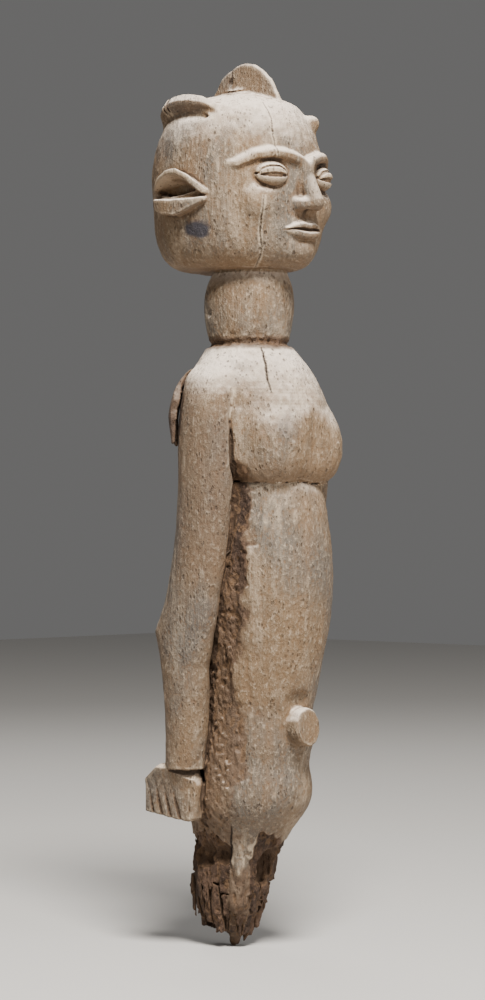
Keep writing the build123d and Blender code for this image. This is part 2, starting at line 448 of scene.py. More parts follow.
def lips(ax, y, z, skin):
    up = z - mouth_height
    upper = ((0, 3.4), (8, 4.8), (18, 2.8), (27, -0.6))
    lower = ((0, -6.0), (10, -5.6), (20, -3.2), (27, -0.8))
    rim = join(
        np.hypot(line_distance(ax, up, upper), (skin + 0.4) * 0.8) - (4.6 - 2.4 * ramp(ax, 12, 28)),
        np.hypot(line_distance(ax, up, lower), (skin + 0.4) * 0.8) - (5.4 - 3.0 * ramp(ax, 12, 28)),
        1.5,
    )
    parting = line_distance(ax, up, ((0, -0.9), (9, -0.2), (20, -0.2), (29, -1.4))) - 0.9
    rim = carve(rim, np.maximum(parting, -skin - 3), 1.2)
    return np.where(y < 0, rim, FAR)


def face_block(ax, y, z, block, sides):
    """The block with its mouth, chin and cheeks raised, and its sockets and hollows cut."""
    face = block
    swellings = (
        ((0, face_front + 17, mouth_height - 2), (33, 19, 25), 12),
        ((0, face_front + 15, head_low[2] + 21), (23, 20, 14), 10),
        ((eye_out + 4, face_front + 25, eye_height - 30), (20, 15, 17), 14),
    )
    for centre, radii, k in swellings:
        face = join(face, ball(ax, y, z, centre, radii), k)
    face = carve(face, eye_socket(ax, y, z), 7)
    under_nose = rod(ax, y, z, (0, face_front - 3.5, nose_foot - 2), (0, face_front - 5, mouth_height + 9), 3, 3)
    face = carve(face, under_nose, 3)
    face = carve(face, np.where(ax > 50, ear_hollow(y, z, sides), FAR), 2.0)
    return carve(face, undercut(ax, y, z), 4.0)


def head_parts(x, y, z):
    """Each node of the head as its own distance field, before they are joined."""
    ax = np.abs(x)
    block = skull(x, y, z)
    sides = np.where(ax > 50, block, FAR)
    face = face_block(ax, y, z, block, sides)
    knob = np.array([(knob_low[i] + knob_high[i]) / 2 for i in range(3)])
    parts = {
        "head": face,
        "crown_crest": crown_crest(x, y, z),
        "forehead_knob": ball(x, y, z, knob, (10, 8, 9)),
        "brow_ridge": brow(ax, y, z, block),
        "nose": nose(ax, y, z),
        "lips": lips(ax, y, z, face),
    }
    pairs = {"side_crest": side_crest(ax, y, z, x < 0), "ear": ear(y, z, sides), "eye": eye(ax, y, z)}
    for name, pair in pairs.items():
        parts["right_" + name] = np.where(x < 0, pair, FAR)
        parts["left_" + name] = np.where(x < 0, FAR, pair)
    return parts


HEAD_JOINS = {
    "crown_crest": 5.0, "right_side_crest": 4.0, "left_side_crest": 4.0, "forehead_knob": 9.0, "right_ear": 2.5,
    "left_ear": 2.5, "brow_ridge": 3.5, "nose": 8.0, "lips": 2.0, "right_eye": 1.2, "left_eye": 1.2,
}


def weather(x, y, z, depth=1.0):
    """Adze facets, ripples and raised grain of sound old wood."""
    facets = noise(x, y, z, (15.0, 15.0, 34.0), 20)
    ripple = noise(x, y, z, 62.0, 21)
    grain = noise(x, y, z, (3.4, 3.4, 60.0), 22)
    fine = noise(x, y, z, (5.0, 5.0, 9.0), 23)
    return depth * (0.8 * facets + 1.3 * ripple + 0.34 * grain + 0.38 * fine)


CRACK_OVAL = (92, 102)
CRACK_OVAL_MIDDLE = -5


def on_oval(angle):
    """The spot on the round of the head that faces the way angle does."""
    out = math.radians(angle)
    return -CRACK_OVAL[0] * math.sin(out), CRACK_OVAL_MIDDLE - CRACK_OVAL[1] * math.cos(out)


# angle, low end, high end, width, depth, seed
HEAD_CRACKS = (
    (34, 762, 842, 0.9, 6.0, 31),
    (24, 884, 952, 0.8, 4.0, 32),
    (150, 790, 950, 2.2, 9.0, 35),
    (-52, 780, 900, 1.4, 5.0, 36),
    (-120, 800, 930, 1.3, 4.0, 37),
)


def head_cracks(x, y, z, skin):
    """The drying cracks on the jaw, the forehead and the crown."""
    return cracks(x, y, z, [(on_oval(row[0]), *row) for row in HEAD_CRACKS], skin)


def crest_knot(x, y, z):
    """The knot hole in the side of the crown crest, with a rift up from it."""
    knot = ball(x, y, z, (-7.0, 1.5, 979), (4.6, 3.4, 6.0)) + 1.0 * noise(x, y, z, 3.6, 38)
    rift = np.abs(y + 0.5 - 0.2 * (z - 985) + noise(x, y, z, 7.0, 39)) - 0.7
    return np.minimum(knot, np.maximum(np.maximum(rift, x + 1), 982 - z))


def head_field(x, y, z):
    parts = head_parts(x, y, z)
    skin = parts["head"] + weather(x, y, z)
    for name, k in HEAD_JOINS.items():
        part = parts[name] + 0.3 * weather(x, y, z)
        skin = join(skin, part, k)
    skin = carve(skin, crest_knot(x, y, z), 1.2)
    return carve(skin, head_cracks(x, y, z, parts["head"]), 0.6)


# ---- body

BODY_NODES = (
    "neck", "chest", "abdomen", "hips", "base_stub", "right_upper_arm", "right_forearm", "right_hand",
    "left_upper_arm", "left_forearm", "left_hand", "navel_peg", "shoulder_flake", "stub_splinter",
)
HAND_TURN = math.radians(12)
HAND_HALF_THICK = 12.5
HAND_OUTLINE = ((-35, 9), (24, 0), (33, 3), (35, 40), (26, 62), (-12, 64), (-35, 46))
HAND_ORIGIN = (76.0, 22.0, hand_low[2])
navel = ((peg_low[0] + peg_high[0]) / 2, peg_low[1], (peg_low[2] + peg_high[2]) / 2)
SOUND_WOOD = stub_high[2] - 18


def hand(ax, y, z):
    """A flat paddle with four slanting grooves and a thin thumb."""
    dx, dy = ax - HAND_ORIGIN[0], y - HAND_ORIGIN[1]
    along = -dx * math.sin(HAND_TURN) - dy * math.cos(HAND_TURN)
    out = dx * math.cos(HAND_TURN) - dy * math.sin(HAND_TURN)
    up = z - HAND_ORIGIN[2]
    plate = np.full(ax.shape, -FAR, np.float32)
    for (au, av), (bu, bv) in zip(HAND_OUTLINE, HAND_OUTLINE[1:] + HAND_OUTLINE[:1]):
        length = math.hypot(bu - au, bv - av)
        plate = np.maximum(plate, ((bv - av) * (along - au) - (bu - au) * (up - av)) / length)
    thick = HAND_HALF_THICK - 0.0035 * (along - 2) ** 2 + 5.0 * ramp(up, 34, 62)
    slab = meet(plate, np.abs(out + 1) - thick - 1, 3.0)
    for i in range(4):
        foot, lean = -21.5 + 11.8 * i, -0.22 - 0.02 * i
        line = np.abs(along - foot - lean * (up - 4))
        groove = line - 2.3 * (1 - ramp(up, 14, 50)) + 0.62 * np.clip(thick - out, 0, 9)
        slab = carve(slab, np.where((out > 0) & (up < 50), groove, FAR), 1.5)
    thumb = np.abs(along - 26.5 + 0.04 * up) - 0.7 + 0.35 * np.clip(thick - out, 0, 9)
    slab = carve(slab, np.where((out > 0) & (up < 38), thumb, FAR), 0.8)
    ledge = (out - 15.5) * 0.62 + (up - 61 + 18 * ramp(along, -8, 38)) * 0.78
    return meet(slab, ledge, 1.0)


FLAKE_ACROSS = (0.731, 0.682)


def shoulder_flake(x, y, z, shoulder):
    """A split layer of the back of the right shoulder, standing off along its outer edge."""
    top, tip = flake_high[2], flake_low[2]
    gap = 3.0 * ramp(top - z, 10, 60)
    thick = 3.7 * ramp(top - z, -8, 30) * (1 - 0.5 * ramp(tip + 34 - z, 0, 34))
    sheet = np.abs(shoulder - gap - thick) - thick
    along = x * FLAKE_ACROSS[0] + y * FLAKE_ACROSS[1]
    ragged = 3.0 * noise(x * 0, y * 0, z, 9.0, 40) + 1.2 * noise(x, y, z, 4.0, 42)
    inner = -76 + 24 * ramp(z, top - 46, top) + ragged
    edge = np.maximum(inner - along, along + 22 - ragged)
    ends = np.maximum(z - top + 0.5 * np.abs(along + 46), tip + 5 * noise(x, y, z * 0, 7.0, 41) - z)
    here = (x < -20) & (y > -40)
    return np.where(here, meet(sheet, np.maximum(edge, ends) * 0.85, 2.0), FAR)


def splinter(x, y, z):
    """The long ridge of sound fibres down the stub to its tip."""
    top, knee, tip = (-34, -42, 128), (-20, -24, 52), (-3, -3, 7)
    ridge = join(rod(x, y, z, top, knee, 6.0, 10.0), rod(x, y, z, knee, tip, 10.0, 5.5), 6)
    return ridge + 2.6 * noise(x, y, z, (6.0, 6.0, 38.0), 43) + 1.5 * noise(x, y, z, (3.4, 3.4, 14.0), 44)


def trunk_part(x, y, z):
    """The trunk with its breast, the cut under the chest and the flat over the breast."""
    ax = np.abs(x)
    wander = 2.4 * noise(x, y, z * 0, 30.0, 52) * ramp(40 - np.abs(z - chest_low[2]), 0, 36)
    trunk = meet(trunk_column(x, y, z + wander), z - chest_high[2] - 2.5, 11)
    above = np.clip(1 - (z + wander - chest_low[2]) / 36, 0, 1) ** 2
    below = np.clip(1 - (chest_low[2] - z - wander) / 14, 0, 1) ** 2
    trunk = trunk + np.where(z + wander > chest_low[2], 7.6 * above, 1.6 * below)
    trunk = trunk + 3.6 * ramp(26 - np.abs(z - belly_low[2] - 3), 0, 26) * ramp(-y, 45, 78)
    flatten = ramp(z, chest_low[2] + 4, chest_low[2] + 40) * (1 - ramp(z, 605, 660)) * ramp(-y, 30, 85)
    trunk = trunk + 8.0 * flatten
    valley = ball(x, y, z, (0, chest_low[1] - 2, 566), (12, 13, 50))
    trunk = carve(trunk, valley, 12)
    breast = ball(ax, y, z, (34, -89, 563), (31, 33, 40))
    trunk = join(trunk, breast, 14)
    nipple = ball(ax, y, z, (36, -121.5, 566), (4, 3, 4))
    return join(trunk, nipple, 3)


def arm_part(ax, y, z):
    arms = meet(arm(ax, y, z), z - shoulder_height, 22)
    return meet(arms, wrist_height - 4.5 - z, 2.0)


PEG_FACETS = 10


def peg_part(x, y, z):
    """The navel peg: a faceted round bar with its end cut across."""
    peg = np.hypot(x - navel[0], (z - navel[2]) * 0.96) - 20.6
    facing = np.arctan2(z - navel[2], x - navel[0])
    peg = peg + 1.5 * np.abs(((facing * PEG_FACETS / (2 * math.pi)) % 1) - 0.5)
    peg = meet(peg, navel[1] - y + 0.08 * (x + z - navel[2]), 3.0)
    return np.where(y < -50, peg, FAR)


def body_parts(x, y, z):
    """Each node of the body as its own distance field; the trunk is one field, split by height."""
    ax = np.abs(x)
    trunk, arms = trunk_part(x, y, z), arm_part(ax, y, z)
    return {
        "neck": meet(neck_column(x, y, z), neck_low[2] - 9 - z, 4),
        "trunk": trunk,
        "arms": arms,
        "hands": hand(ax, y, z),
        "navel_peg": peg_part(x, y, z),
        "shoulder_flake": shoulder_flake(x, y, z, join(trunk, arms, 22)),
        "stub_splinter": splinter(x, y, z),
    }


def eaten(x, y, z, parts):
    """How far insects have eaten the trunk along the front of each arm, from 0 to 1."""
    heights = (150, 190, 240, 290, 370, 440, 528, 552)
    width = np.interp(z, heights, (46, 62, 70, 66, 48, 36, 24, 11)).astype(np.float32)
    ragged = 0.32 * noise(x, y, z, (13.0, 13.0, 22.0), 51) + 0.12 * noise(x, y, z, 5.0, 50)
    share = 1 - np.minimum(parts["arms"], parts["hands"]) / width + ragged
    here = ramp(30 - y, 0, 8) * ramp(556 - z, 0, 18) * ramp(z, 96, 140)
    return ramp(share, -0.1, 0.9) * here


def crumbs(x, y, z):
    """The crumbling surface that the insects leave, eaten along the grain."""
    coarse = noise(x, y, z, (8.5, 8.5, 20.0), 62)
    return 1.5 * coarse + 1.8 * noise(x, y, z, (3.6, 3.6, 6.5), 63) + 1.4 * noise(x, y, z, (2.8, 2.8, 3.4), 61)


def bundles(x, y, z):
    """Rotten fibre bundles, as a random value for each and the distance to its nearest side."""
    px = (x + 5 * noise(x, y, z, (19.0, 19.0, 60.0), 64)) / 13.0
    py = (y + 5 * noise(x, y, z, (19.0, 19.0, 60.0), 65)) / 11.0
    i, j = np.floor(px), np.floor(py)
    side = np.minimum(0.5 - np.abs(px - i - 0.5), 0.5 - np.abs(py - j - 0.5)) * 11.0
    number = ((i.astype(np.int32) & 63) << 12) + ((j.astype(np.int32) & 63) << 6)
    return LATTICE[number + 5], LATTICE[number + 9], side


def rot_depth(x, y, z):
    """Height below the ragged edge where the sound wood ends."""
    edge = SOUND_WOOD + 12 * noise(x, y, z * 0.2, 12.0, 66) + 6 * noise(x, y, z * 0.3, 4.5, 67)
    return edge - 34 * ramp(16 - splinter(x, y, z), 0, 18) - z


# centre and radii of each pocket in the stub
ROT_POCKETS = (
    ((-54, 12, 106), (26, 25, 20)),
    ((-46, -22, 108), (15, 15, 13)),
    ((6, -52, 92), (18, 24, 24)),
    ((54, -10, 84), (20, 26, 34)),
    ((10, 58, 96), (22, 16, 30)),
)


def rot_cavities(x, y, z):
    """The pockets rotted out of the stub on each side of the splinter, and its ragged foot."""
    wild = 4.0 * noise(x, y, z, (9.0, 9.0, 14.0), 60) + 2.0 * noise(x, y, z, (4.5, 4.5, 8.0), 61)
    pockets = [ball(x, y, z, centre, radii) for centre, radii in ROT_POCKETS]
    return np.minimum.reduce(pockets) + wild


# spot, angle, low end, high end, width, depth, seed
BODY_CRACKS = (
    ((-31, -72), 30, 624, 676, 1.5, 5.0, 71),
    ((10, 52), 190, 330, 560, 1.6, 11.0, 73),
    ((-30, -24), 50, 92, 142, 1.3, 8.0, 74),
    ((66, -60), -50, 330, 500, 1.3, 5.0, 75),
)


def body_cracks(x, y, z, skin):
    return cracks(x, y, z, BODY_CRACKS, skin)


def neck_groove(solid, x, y, z):
    """The crumbling groove under the neck, with a chip out of its right side."""
    near_groove = ramp(13 - np.abs(z - neck_low[2] - 2), 0, 9)
    groove = ramp(5 - np.abs(z - neck_low[2] - 1.5 * noise(x, y, z * 0, 16.0, 54)), 0, 4)
    solid = solid + near_groove * (0.4 + 0.55 * crumbs(x, y, z)) + 1.7 * groove
    return carve(solid, ball(x, y, z, (-49, 4, 716), (9, 12, 8)), 2.0)


def navel_hollows(solid, x, y, z):
    """The shallow hollows below and above the navel peg."""
    solid = carve(solid, ball(x, y, z, (-8, belly_low[1] + 12, 212), (17, 10, 20)), 6)
    return carve(solid, ball(x, y, z, (-6, peg_high[1] - 14, navel[2] + 28), (17, 9, 11)), 7)


def join_arms(solid, parts, rough, x, y, z):
    """The arms run into the shoulders, and a ragged crease parts them from the breast."""
    blend = 2.2 + 17.0 * ramp(z, 575, 650)
    solid = join(solid, parts["arms"] + 0.8 * rough, blend)
    opening = np.interp(z, (520, 560, 590, 624), (2.2, 1.5, 0.3, -0.8)).astype(np.float32)
    crease = 0.6 * np.abs(parts["arms"] - parts["trunk"]) - opening + 0.9 * noise(x, y, z, 6.0, 49)
    crease = np.maximum(crease, -np.minimum(parts["arms"], parts["trunk"]) - 4)
    return carve(solid, np.where((y < 0) & (z > 500) & (z < 630), crease, FAR), 2.0)


def rot_foot(solid, parts, x, y, z):
    """The rotten foot: fibre bundles that end at different heights, and pockets."""
    first, second, side = bundles(x, y, z)
    rot = ramp(rot_depth(x, y, z), 0, 7)
    deeper = ramp(rot_depth(x, y, z), 10, 60)
    snap = SOUND_WOOD - 46 + 24 * second + 3 * noise(x, y, z * 0, 5.0, 68)
    solid = solid + rot * (4.0 + 3.0 * np.where(z > snap, second, first) + crumbs(x, y, z)) - 3.0 * deeper
    gap = np.minimum(side + 5.0 - 5.9 * deeper, np.abs(z - snap) + 0.6 - 1.9 * deeper)
    solid = carve(solid, np.maximum(gap, -solid - 8), 0.8)
    foot = 27 + 13 * first - 9 * ramp(14 - parts["stub_splinter"], 0, 12) + 3 * noise(x, y, z * 0, 4.0, 58)
    solid = meet(solid, (foot - z) * 0.8, 1.5)
    return carve(solid, np.where(z < SOUND_WOOD + 22, rot_cavities(x, y, z), FAR), 3.0)


BODY_JOINS = (("hands", 0.35, 2.5), ("navel_peg", 0.4, 3.0), ("shoulder_flake", 0.3, 1.0))


def body_field(x, y, z):
    parts = body_parts(x, y, z)
    rough = weather(x, y, z)
    trunk = parts["trunk"] + rough
    bite = np.interp(z, (170, 230, 330, 500, 545), (1, 3.5, 6.5, 7.5, 5)).astype(np.float32)
    trunk = trunk + eaten(x, y, z, parts) * (bite + crumbs(x, y, z))
    solid = neck_groove(join(trunk, parts["neck"] + 0.8 * rough, 2.0), x, y, z)
    solid = join_arms(navel_hollows(solid, x, y, z), parts, rough, x, y, z)
    for name, grain, k in BODY_JOINS:
        solid = join(solid, parts[name] + grain * rough, k)
    solid = rot_foot(solid, parts, x, y, z)
    solid = carve(solid, body_cracks(x, y, z, parts["trunk"]), 0.8)
    return join(solid, parts["stub_splinter"], 3.0)


def head_labels(x, y, z):
    parts = head_parts(x, y, z)
    stack = np.stack([parts[name] for name in HEAD_NODES])
    stack[0] += 0.35
    return stack.argmin(0)


def body_labels(x, y, z):
    parts = body_parts(x, y, z)
    number = {name: i for i, name in enumerate(BODY_NODES)}
    label = np.where(z > neck_low[2] + 1, number["neck"], number["chest"])
    for top, name in ((chest_low[2], "abdomen"), (belly_low[2], "hips"), (hips_low[2], "base_stub")):
        label = np.where(z < top, number[name], label)
    right = x < 0
    gap = np.minimum(parts["arms"], parts["hands"]) - np.minimum(parts["trunk"], parts["neck"])
    upper = np.where(right, number["right_upper_arm"], number["left_upper_arm"])
    fore = np.where(right, number["right_forearm"], number["left_forearm"])
    palm = np.where(right, number["right_hand"], number["left_hand"])
    limb = np.where(z > elbow_height, upper, fore)
    limb = np.where(parts["hands"] < parts["arms"], palm, limb)
    label = np.where((gap < -0.5) & (z < shoulder_height + 4) & (z > hand_low[2] - 4), limb, label)
    nearest = np.minimum(np.minimum(parts["trunk"], parts["neck"]), parts["arms"])
    for name in ("navel_peg", "shoulder_flake"):
        label = np.where(parts[name] < nearest - 0.4, number[name], label)
    buried = np.maximum(parts["trunk"], -parts["stub_splinter"]) < 0
    own = (parts["stub_splinter"] < parts["trunk"] - 0.4) | (parts["stub_splinter"] < 1.6)
    return np.where((z < 124) & own & ~(buried & (parts["stub_splinter"] > 3)), number["stub_splinter"], label)


# ---- fields to meshes


def sample(field, low, cell, blocks):
    """The field on a grid, worked out only in the blocks that the surface can cross."""
    side = cell * BLOCK
    centres = [low[i] + side * (np.arange(blocks[i]) + 0.5) for i in range(3)]
    grid = np.meshgrid(*centres, indexing="ij")
    middle = field(*(g.ravel().astype(np.float32) for g in grid)).reshape(blocks)
    near = np.abs(middle) < side * 0.87 + 6.0
    values = np.repeat(np.repeat(np.repeat(np.where(middle > 0, FAR, -FAR), BLOCK, 0), BLOCK, 1), BLOCK, 2)
    values = values.astype(np.float32)
    view = values.reshape(blocks[0], BLOCK, blocks[1], BLOCK, blocks[2], BLOCK).transpose(0, 2, 4, 1, 3, 5)
    bi, bj, bk = np.nonzero(near)
    inner = cell * np.arange(BLOCK, dtype=np.float32)
    for start in range(0, len(bi), 3000):
        chosen = slice(start, start + 3000)
        base = [low[a] + side * b[chosen].astype(np.float32) for a, b in enumerate((bi, bj, bk))]
        shape = (len(base[0]), BLOCK, BLOCK, BLOCK)
        x = np.broadcast_to(base[0][:, None, None, None] + inner[None, :, None, None], shape)
        y = np.broadcast_to(base[1][:, None, None, None] + inner[None, None, :, None], shape)
        z = np.broadcast_to(base[2][:, None, None, None] + inner[None, None, None, :], shape)
        found = field(x.ravel().astype(np.float32), y.ravel().astype(np.float32), z.ravel().astype(np.float32))
        view[bi[chosen], bj[chosen], bk[chosen]] = found.reshape(shape)
    return values


def surface(field, low, high, cell):
    """Vertices and four-sided faces of the field's zero surface."""
    blocks = tuple(int(math.ceil((high[i] - low[i]) / (cell * BLOCK))) for i in range(3))
    values = sample(field, low, cell, blocks)
    inside = values < 0
    corners = [(i, j, k) for i in (0, 1) for j in (0, 1) for k in (0, 1)]
    nx, ny, nz = (n - 1 for n in values.shape)

    def shifted(array, corner):
        i, j, k = corner
        return array[i:i + nx, j:j + ny, k:k + nz]

    count = np.zeros((nx, ny, nz), np.int8)
    for corner in corners:
        count += shifted(inside, corner)
    cells = np.argwhere((count > 0) & (count < 8))
    at = {c: values[cells[:, 0] + c[0], cells[:, 1] + c[1], cells[:, 2] + c[2]] for c in corners}
    total = np.zeros((len(cells), 3), np.float32)
    crossings = np.zeros(len(cells), np.float32)
    for a in corners:
        for axis in range(3):
            if a[axis]:
                continue
            b = tuple(1 if n == axis else a[n] for n in range(3))
            crosses = (at[a] < 0) != (at[b] < 0)
            share = at[a] / np.where(crosses, at[a] - at[b], 1)
            point = np.tile(np.array(a, np.float32), (len(cells), 1))
            point[:, axis] = share
            total += point * crosses[:, None]
            crossings += crosses
    vertices = np.array(low) + cell * (cells + total / crossings[:, None])
    index = np.full((nx, ny, nz), -1, np.int32)
    index[cells[:, 0], cells[:, 1], cells[:, 2]] = np.arange(len(cells))
    faces = []
    for axis in range(3):
        u, v = (axis + 1) % 3, (axis + 2) % 3
        ends = [slice(1, n) for n in (nx, ny, nz)]
        here, there = list(ends), list(ends)
        here[axis] = slice(0, (nx, ny, nz)[axis])
        there[axis] = slice(1, (nx, ny, nz)[axis] + 1)
        first, second = inside[tuple(here)], inside[tuple(there)]
        for outward in (True, False):
            edge = np.argwhere(first & ~second if outward else ~first & second)
            edge = edge + [0 if n == axis else 1 for n in range(3)]
            ring = []
            for du, dv in ((0, 0), (-1, 0), (-1, -1), (0, -1)):
                spot = edge.copy()
                spot[:, u] += du
                spot[:, v] += dv
                ring.append(index[spot[:, 0], spot[:, 1], spot[:, 2]])
            quad = np.stack(ring, 1)
            faces.append(quad if outward else quad[:, ::-1])
    faces = np.concatenate(faces)
    return vertices.astype(np.float32), faces[(faces >= 0).all(1)]


def vertex_normals(vertices, faces):
    """Smooth normals of the whole skin, so that they run on from one node to the next."""
    cross = np.cross(vertices[faces[:, 2]] - vertices[faces[:, 0]], vertices[faces[:, 3]] - vertices[faces[:, 1]])
    sums = [
        np.bincount(faces.ravel(), np.repeat(cross[:, axis], 4), len(vertices)) for axis in range(3)
    ]
    normals = np.stack(sums, 1)
    return (normals / np.maximum(np.linalg.norm(normals, axis=1, keepdims=True), 1e-9)).astype(np.float32)


def keep_largest(vertices, faces, least):
    """The faces without loose crumbs of fewer than least vertices."""
    group = np.arange(len(vertices))
    for _ in range(200):
        lowest = group[faces].min(1)
        new = group.copy()
        np.minimum.at(new, faces.ravel(), np.repeat(lowest, 4))
        new = new[new]
        if (new == group).all():
            break
        group = new
    sizes = np.bincount(group, minlength=len(vertices))
    return faces[sizes[group[faces[:, 0]]] >= least]


# ---- marks that the material reads


def patch_mark(x, y, z, centre, radii, rough, size, seed):
    """A ragged patch on the skin, as a distance that is below zero inside it."""
    return ball(x, y, z, centre, radii) + rough * noise(x, y, z, size, seed)


def head_marks(x, y, z, worn):
    decay_and_shade = 0.5 * ramp(-z, -head_low[2] - 8, -head_low[2] + 2)
    split = 0.8 * np.clip(1 - head_cracks(x, y, z, np.zeros_like(x)) / 1.0, 0, 1)
    split = np.maximum(split, 0.8 * np.clip(1 - crest_knot(x, y, z) / 1.2, 0, 1))
    patch = patch_mark(x, y, z, (-90, -25, 806), (15, 18, 10), 3, 6.0, 80)
    stain_and_sheen = np.clip(-patch / 5 + 0.45, 0, 1)
    fins = np.minimum(crown_crest(x, y, z), side_crest(np.abs(x), y, z, x < 0))
    stain_and_sheen = np.maximum(stain_and_sheen, 0.2 * ramp(1.5 - fins, 0, 1.5) * (1 - worn))
    grey_patch = patch_mark(x, y, z, (-72, 36, 903), (32, 32, 24), 7, 14.0, 81)
    stain_and_sheen = np.maximum(stain_and_sheen, 0.32 * np.clip(-grey_patch / 14, 0, 1))
    return decay_and_shade, stain_and_sheen, split


def body_rot_and_shade(x, y, z, parts, gnawed):
    """Rot of the foot and the groove under the neck, and the eaten strips, darkened as rot with painted shade
    from the arms that deepens toward the chest.
    """
    sound = np.where(parts["stub_splinter"] < 3, 0.3 + 0.34 * ramp(116 - z, 0, 80), 1.0)
    decay_and_shade = ramp(rot_depth(x, y, z), -4, 6) * sound
    # painted shade: the eaten strips darken more toward the chest, where the arms shade them, on top of the rot
    strength = np.interp(z, (150, 260, 400, 480, 540), (0.36, 0.46, 0.7, 0.92, 1.0))
    decay_and_shade = np.maximum(decay_and_shade, strength * ramp(gnawed, 0.04, 0.55))
    return np.maximum(decay_and_shade, 0.6 * ramp(11 - np.abs(z - neck_low[2]), 0, 9))


def body_hollow_shade(x, y, z, hollow_shade, on_trunk):
    """Painted shade in hollows, dark in the stub's pockets, lighter at the cut under the chest, and a painted
    shade under the breast.
    """
    pocket = np.where(z < SOUND_WOOD + 22, rot_cavities(x, y, z), FAR)
    hollow_shade = np.maximum(hollow_shade, 0.95 * ramp(2.5 - pocket, 0, 4))
    hollow_shade = hollow_shade * (1 - 0.45 * ramp(10 - np.abs(z - chest_low[2]), 0, 6))
    # painted shade under the breast, above the cut under the chest
    under_breast_shade = ramp(572 - z, 0, 34) * (z > chest_low[2]) * on_trunk
    return np.maximum(hollow_shade, 0.32 * under_breast_shade)


def body_stain_and_sheen(x, y, z, parts):
    greyed = np.interp(z, (250, 400, 470, 590, 645), (0.1, 0.16, 0.32, 0.3, 0)).astype(np.float32)
    stain_and_sheen = greyed * (parts["arms"] < parts["trunk"] - 0.5)
    # painted sheen: a grey-blue patch round the right nipple
    grey_patch = patch_mark(x, y, z, (-36, -114, 584), (20, 18, 24), 6, 12.0, 82)
    return np.maximum(stain_and_sheen, 0.3 * np.clip(-grey_patch / 10, 0, 1))


def body_marks(x, y, z, normals, hollow_shade, worn):
    parts = body_parts(x, y, z)
    on_trunk = parts["trunk"] < np.minimum(parts["arms"], parts["hands"]) - 0.5
    gnawed = eaten(x, y, z, parts) * on_trunk
    decay_and_shade = body_rot_and_shade(x, y, z, parts, gnawed)
    worn = worn * (1 - 0.9 * ramp(gnawed, 0.0, 0.1))
    split = np.clip(1 - body_cracks(x, y, z, np.zeros_like(x)) / 1.4, 0, 1)
    hollow_shade = body_hollow_shade(x, y, z, hollow_shade, on_trunk)
    wedge = (z < wrist_height + 1) & (z > wrist_height - 26) & (parts["hands"] < parts["trunk"])
    fresh = np.where(wedge, ramp(normals[:, 2], 0.3, 0.5), 0.0).astype(np.float32)
    sheet = parts["shoulder_flake"] < np.minimum(parts["trunk"], parts["arms"]) - 0.4
    # painted shade: the split sheet at the back of the shoulder is darkened in the rot colour
    decay_and_shade = np.maximum(decay_and_shade, 0.55 * sheet)
    worn = worn * (1 - 0.7 * sheet)
    return hollow_shade, worn, decay_and_shade, fresh, body_stain_and_sheen(x, y, z, parts), split


def marks(field, vertices, normals, head):
    """Per vertex: painted shade in hollows and creases, wear on edges, and rot with some painted shade; then
    fresh wood, stains with a painted sheen, and crack darkness.
    """
    x, y, z = vertices.T

    def beyond(step):
        return field(x + normals[:, 0] * step, y + normals[:, 1] * step, z + normals[:, 2] * step)

    # painted shade: a point darkens as the wood round it closes over it, and more in concave creases
    hollow_shade = np.zeros(len(x), np.float32)
    for step, weight in ((3.0, 0.45), (8.0, 0.35), (18.0, 0.2)):
        hollow_shade += weight * np.clip(1 - beyond(step) / step, 0, 1)
    bend = beyond(-3.5) + beyond(3.5)
    worn = np.clip((bend - 0.35) / 1.6, 0, 1)
    hollow_shade = np.clip(hollow_shade + 0.35 * np.clip(-bend / 2.0, 0, 1) - 0.08, 0, 1)
    fresh = np.zeros(len(x), np.float32)
    if head:
        decay_and_shade, stain_and_sheen, split = head_marks(x, y, z, worn)
    else:
        hollow_shade, worn, decay_and_shade, fresh, stain_and_sheen, split = body_marks(x, y, z, normals, hollow_shade, worn)
    return np.stack([hollow_shade, worn, decay_and_shade], 1), np.stack([fresh, stain_and_sheen, split], 1)


# ---- materials


class Nodes:
    """Short ways to add and link shader nodes."""

    def __init__(self, material):
        self.tree = material.node_tree
        self.tree.nodes.clear()

    def add(self, kind, inputs=None, **settings):
        node = self.tree.nodes.new(kind)
        for name, value in settings.items():
            setattr(node, name, value)
        for name, value in (inputs or {}).items():
            self.put(node.inputs[name], value)
        return node

    def put(self, socket, value):
        if isinstance(value, bpy.types.NodeSocket):
            self.tree.links.new(value, socket)
        else:
            socket.default_value = value

    def noise(self, where, scale, detail=4.0, roughness=0.55):
        made = self.add(
            "ShaderNodeTexNoise", {"Vector": where, "Scale": scale, "Detail": detail, "Roughness": roughness}
        )
        return made.outputs["Fac"]

    def ramp(self, value, low, high):
        limits = {"Value": value, "From Min": low, "From Max": high}
        made = self.add("ShaderNodeMapRange", limits, interpolation_type="SMOOTHSTEP")
        return made.outputs["Result"]

    def mix(self, share, a, b):
        made = self.add("ShaderNodeMix", data_type="RGBA")
        self.put(made.inputs[0], share)
        self.put(made.inputs[6], a)
        self.put(made.inputs[7], b)
        return made.outputs[2]

    def math(self, operation, a, b):
        made = self.add("ShaderNodeMath", operation=operation)
        self.put(made.inputs[0], a)
        self.put(made.inputs[1], b)
        return made.outputs[0]

    def tint(self, colour, layers):
        """Lays colours over colour, each where its value goes from low to high, at its own strength."""
        for value, low, high, strength, over in layers:
            colour = self.mix(self.math("MULTIPLY", self.ramp(value, low, high), strength), colour, over)
        return colour

    def stretched(self, where, upright):
        """Coordinates squeezed upright, so that a pattern on them is drawn out along the grain."""
        return self.add("ShaderNodeMapping", {"Vector": where, "Scale": (1, 1, upright)}).outputs["Vector"]

    def channels(self, name):
        colour = self.add("ShaderNodeAttribute", attribute_name=name).outputs["Color"]
        return self.add("ShaderNodeSeparateColor", {"Color": colour}).outputs


def rgb(red, green, blue):
    return (red, green, blue, 1.0)


